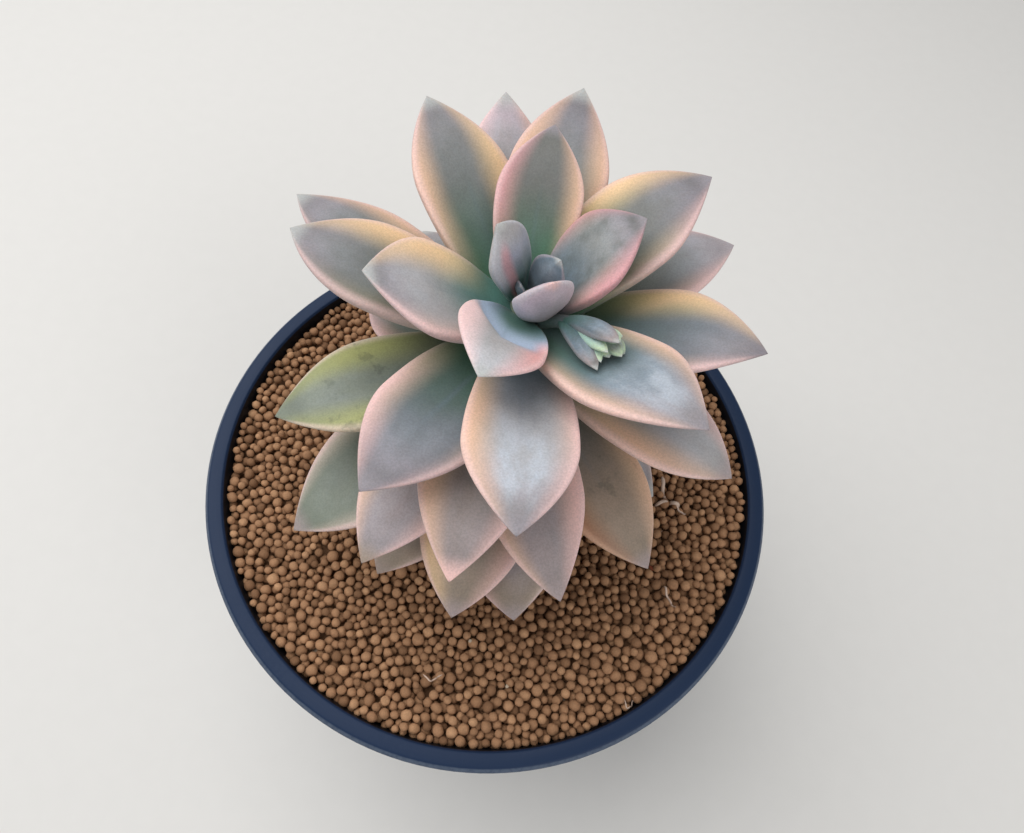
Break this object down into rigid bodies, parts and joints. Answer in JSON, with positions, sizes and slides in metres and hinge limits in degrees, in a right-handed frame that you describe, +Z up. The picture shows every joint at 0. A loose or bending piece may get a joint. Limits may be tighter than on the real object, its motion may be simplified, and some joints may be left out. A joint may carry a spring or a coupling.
{
  "type": "ghost plant in a round nursery pot",
  "caption": "Rosette succulent with pointed grey-pink leaves on a short leaning stem, in a round dark plastic pot of clay pellets.",
  "frame": {"origin": "centre of the pot's flat base, on the surface it stands on", "axes": "+Z up along the pot's axis; the stem leans towards +Y; +X completes the right-handed frame"},
  "size_m": [0.17, 0.17, 0.21],
  "materials": {
    "pot_plastic": "satin",
    "clay_pellets": "matte",
    "stem_bark": "matte",
    "leaf_skin": "matte",
    "bract_skin": "matte"
  },
  "bodies": {
    "root": {"pot": "pot_plastic", "soil": "clay_pellets", "stem": "stem_bark", "flower_stalk": "bract_skin", "bract_01": "bract_skin", "bract_02": "bract_skin", "bract_03": "bract_skin", "bract_04": "bract_skin", "flower_bud_01": "bract_skin", "flower_bud_02": "bract_skin", "leaf_01": "leaf_skin", "leaf_02": "leaf_skin", "leaf_03": "leaf_skin", "leaf_04": "leaf_skin", "leaf_05": "leaf_skin", "leaf_06": "leaf_skin", "leaf_07": "leaf_skin", "leaf_08": "leaf_skin", "leaf_09": "leaf_skin", "leaf_10": "leaf_skin", "leaf_11": "leaf_skin", "leaf_12": "leaf_skin", "leaf_13": "leaf_skin", "leaf_14": "leaf_skin", "leaf_15": "leaf_skin", "leaf_16": "leaf_skin", "leaf_17": "leaf_skin", "leaf_18": "leaf_skin", "leaf_19": "leaf_skin", "leaf_20": "leaf_skin", "leaf_21": "leaf_skin", "leaf_22": "leaf_skin", "leaf_23": "leaf_skin", "leaf_24": "leaf_skin", "leaf_25": "leaf_skin", "leaf_26": "leaf_skin", "leaf_27": "leaf_skin", "leaf_28": "leaf_skin", "leaf_29": "leaf_skin", "leaf_30": "leaf_skin", "leaf_31": "leaf_skin", "leaf_32": "leaf_skin", "leaf_33": "leaf_skin", "leaf_34": "leaf_skin", "leaf_35": "leaf_skin", "leaf_36": "leaf_skin"}
  },
  "joints": []
}
